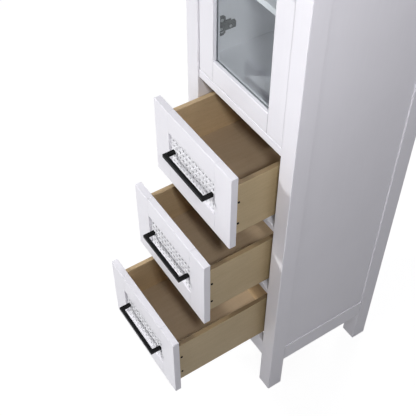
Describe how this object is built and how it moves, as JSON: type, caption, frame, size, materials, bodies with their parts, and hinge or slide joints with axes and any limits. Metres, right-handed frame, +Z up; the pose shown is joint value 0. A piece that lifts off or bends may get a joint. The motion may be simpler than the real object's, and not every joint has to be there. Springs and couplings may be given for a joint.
{
  "type": "bathroom cabinet",
  "caption": "Tall free-standing linen cabinet on square legs: an inset glazed door with shelves over cane-panel drawers on hidden full-extension slides.",
  "frame": {"origin": "on the floor under the middle of the four legs", "axes": "+X to the right of someone facing the door, +Y to the back, +Z up"},
  "size_m": [0.473, 0.7465, 1.83],
  "materials": {
    "white_paint": "satin white paint on wood",
    "bare_wood": "clear lacquered hardwood boards",
    "glass": "clear flat glass",
    "black_metal": "matt black",
    "steel": "zinc-plated steel"
  },
  "bodies": {
    "carcass": {"apron_front": "white_paint", "back_panel": "white_paint", "back_rail": "white_paint", "deck": "white_paint", "hinge_arms": "steel", "hinge_plates": "steel", "liner_left": "white_paint", "liner_right": "white_paint", "post_back_left": "white_paint", "post_back_right": "white_paint", "post_front_left": "white_paint", "post_front_right": "white_paint", "rail_drawer_lower": "white_paint", "rail_drawer_upper": "white_paint", "rail_top_front": "white_paint", "rail_under_door": "white_paint", "runner_channels": "steel", "shelf_lower": "white_paint", "shelf_pins": "steel", "shelf_upper": "white_paint", "side_panel_left": "white_paint", "side_panel_right": "white_paint", "side_rails": "white_paint", "top_board": "white_paint"},
    "door": {"door_beads": "white_paint", "door_glass": "glass", "door_handle": "black_metal", "door_rail_bottom": "white_paint", "door_rail_top": "white_paint", "door_screws": "black_metal", "door_stile_left": "white_paint", "door_stile_right": "white_paint", "hinge_cups": "steel"},
    "drawer_1": {"drawer_1_box_bottom": "bare_wood", "drawer_1_box_ends": "bare_wood", "drawer_1_box_sides": "bare_wood", "drawer_1_cane_panel": "white_paint", "drawer_1_front_frame": "white_paint", "drawer_1_handle": "black_metal", "drawer_1_screws": "black_metal", "drawer_1_slide_rails": "steel"},
    "drawer_2": {"drawer_2_box_bottom": "bare_wood", "drawer_2_box_ends": "bare_wood", "drawer_2_box_sides": "bare_wood", "drawer_2_cane_panel": "white_paint", "drawer_2_front_frame": "white_paint", "drawer_2_handle": "black_metal", "drawer_2_screws": "black_metal", "drawer_2_slide_rails": "steel"},
    "drawer_3": {"drawer_3_box_bottom": "bare_wood", "drawer_3_box_ends": "bare_wood", "drawer_3_box_sides": "bare_wood", "drawer_3_cane_panel": "white_paint", "drawer_3_front_frame": "white_paint", "drawer_3_handle": "black_metal", "drawer_3_screws": "black_metal", "drawer_3_slide_rails": "steel"},
    "drawer_1_mids": {"drawer_1_slide_mids": "steel"},
    "drawer_2_mids": {"drawer_2_slide_mids": "steel"},
    "drawer_3_mids": {"drawer_3_slide_mids": "steel"}
  },
  "joints": [
    {"name": "door_hinge", "type": "hinge", "parent": "carcass", "child": "door", "pos_m": [-0.1762, -0.199, 1.39825], "axis": [0, 0, -1], "range_deg": [0, 105]},
    {"name": "drawer_1_slide", "type": "slide", "parent": "carcass", "child": "drawer_1", "axis": [0, -1, 0], "range_m": [-0.139, 0.191]},
    {"name": "drawer_1_mid_slide", "type": "slide", "parent": "carcass", "child": "drawer_1_mids", "axis": [0, -1, 0], "range_m": [-0.0695, 0.0955]},
    {"name": "drawer_2_slide", "type": "slide", "parent": "carcass", "child": "drawer_2", "axis": [0, -1, 0], "range_m": [-0.215, 0.115]},
    {"name": "drawer_2_mid_slide", "type": "slide", "parent": "carcass", "child": "drawer_2_mids", "axis": [0, -1, 0], "range_m": [-0.1075, 0.0575]},
    {"name": "drawer_3_slide", "type": "slide", "parent": "carcass", "child": "drawer_3", "axis": [0, -1, 0], "range_m": [-0.316, 0.014]},
    {"name": "drawer_3_mid_slide", "type": "slide", "parent": "carcass", "child": "drawer_3_mids", "axis": [0, -1, 0], "range_m": [-0.158, 0.007]}
  ],
  "couplings": [
    {"joint": "drawer_1_mid_slide", "follows": "drawer_1_slide", "ratio": 0.5},
    {"joint": "drawer_2_mid_slide", "follows": "drawer_2_slide", "ratio": 0.5},
    {"joint": "drawer_3_mid_slide", "follows": "drawer_3_slide", "ratio": 0.5}
  ]
}
